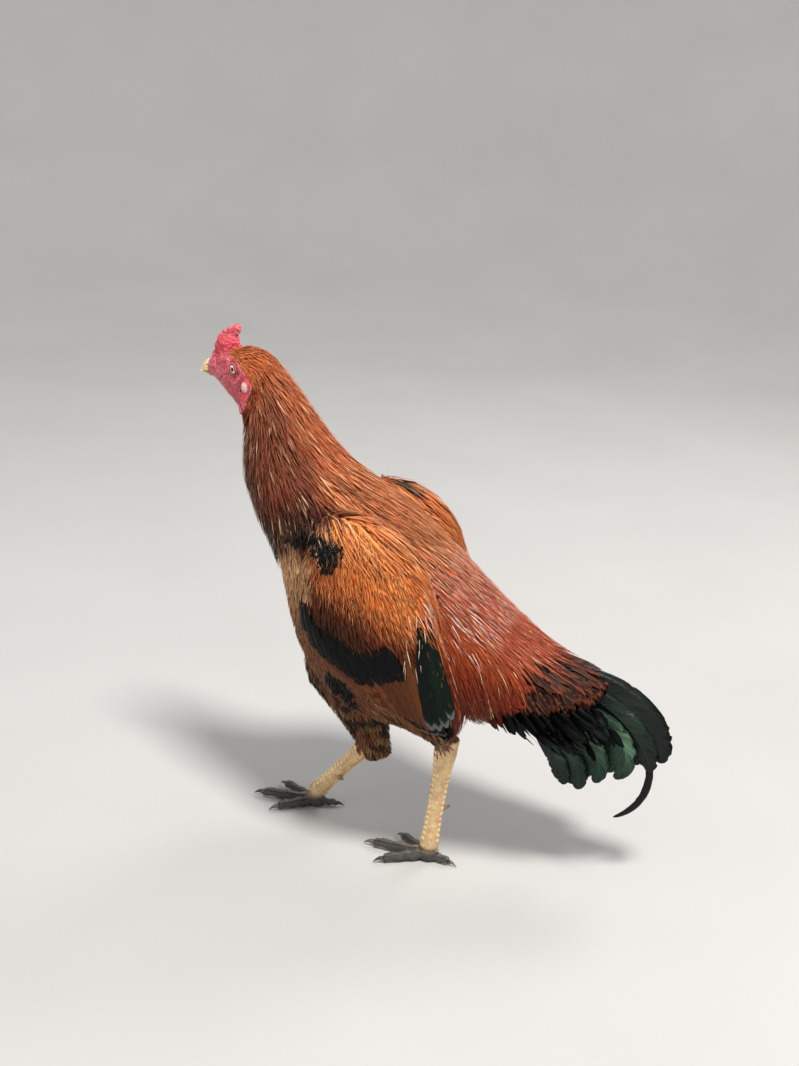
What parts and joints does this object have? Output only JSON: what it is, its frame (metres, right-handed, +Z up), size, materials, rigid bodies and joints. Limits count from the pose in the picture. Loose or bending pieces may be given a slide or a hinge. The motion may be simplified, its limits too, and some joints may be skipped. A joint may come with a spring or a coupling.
{
  "type": "gamecock rooster figure",
  "caption": "Life-size still model of a red and black gamecock in a walking stance, with pea comb, hackles, drooping wings and low black tail.",
  "frame": {"origin": "on the floor, under the centre of the bird's bounding box", "axes": "+Z up, the bird heads towards -X, its left side faces -Y"},
  "size_m": [0.54, 0.1896, 0.5583],
  "materials": {
    "hackle": "glossy red-orange feathers",
    "wing": "orange, black and chestnut feathers",
    "breast": "brown feathers, mottled dark",
    "saddle": "glossy deep red feathers",
    "tail": "black feathers with a green gloss",
    "comb": "soft crimson skin, beaded",
    "face": "bare red skin",
    "lobe": "pale soft skin",
    "beak": "pale horn",
    "leg": "dry yellow scales",
    "claw": "dark horn",
    "eye": "wet, pale iris and black pupil"
  },
  "bodies": {
    "root": {"beak_lower": "beak", "beak_upper": "beak", "claw_hallux_left": "claw", "claw_hallux_right": "claw", "claw_inner_left": "claw", "claw_inner_right": "claw", "claw_middle_left": "claw", "claw_middle_right": "claw", "claw_outer_left": "claw", "claw_outer_right": "claw", "comb": "comb", "earlobe_left": "lobe", "earlobe_right": "lobe", "eye_left": "eye", "eye_right": "eye", "foot_left": "leg", "foot_right": "leg", "head": "face", "neck": "hackle", "saddle": "saddle", "shank_left": "leg", "shank_right": "leg", "spur_left": "claw", "spur_right": "claw", "tail_feather_left_1": "tail", "tail_feather_left_2": "tail", "tail_feather_left_3": "tail", "tail_feather_left_4": "tail", "tail_feather_left_5": "tail", "tail_feather_left_6": "tail", "tail_feather_left_7": "tail", "tail_feather_right_1": "tail", "tail_feather_right_2": "tail", "tail_feather_right_3": "tail", "tail_feather_right_4": "tail", "tail_feather_right_5": "tail", "tail_feather_right_6": "tail", "tail_feather_right_7": "tail", "tail_sickle": "tail", "thigh_left": "breast", "thigh_right": "breast", "trunk": "breast", "wattle_left": "comb", "wattle_right": "comb", "wing_left": "wing", "wing_right": "wing"}
  },
  "joints": []
}
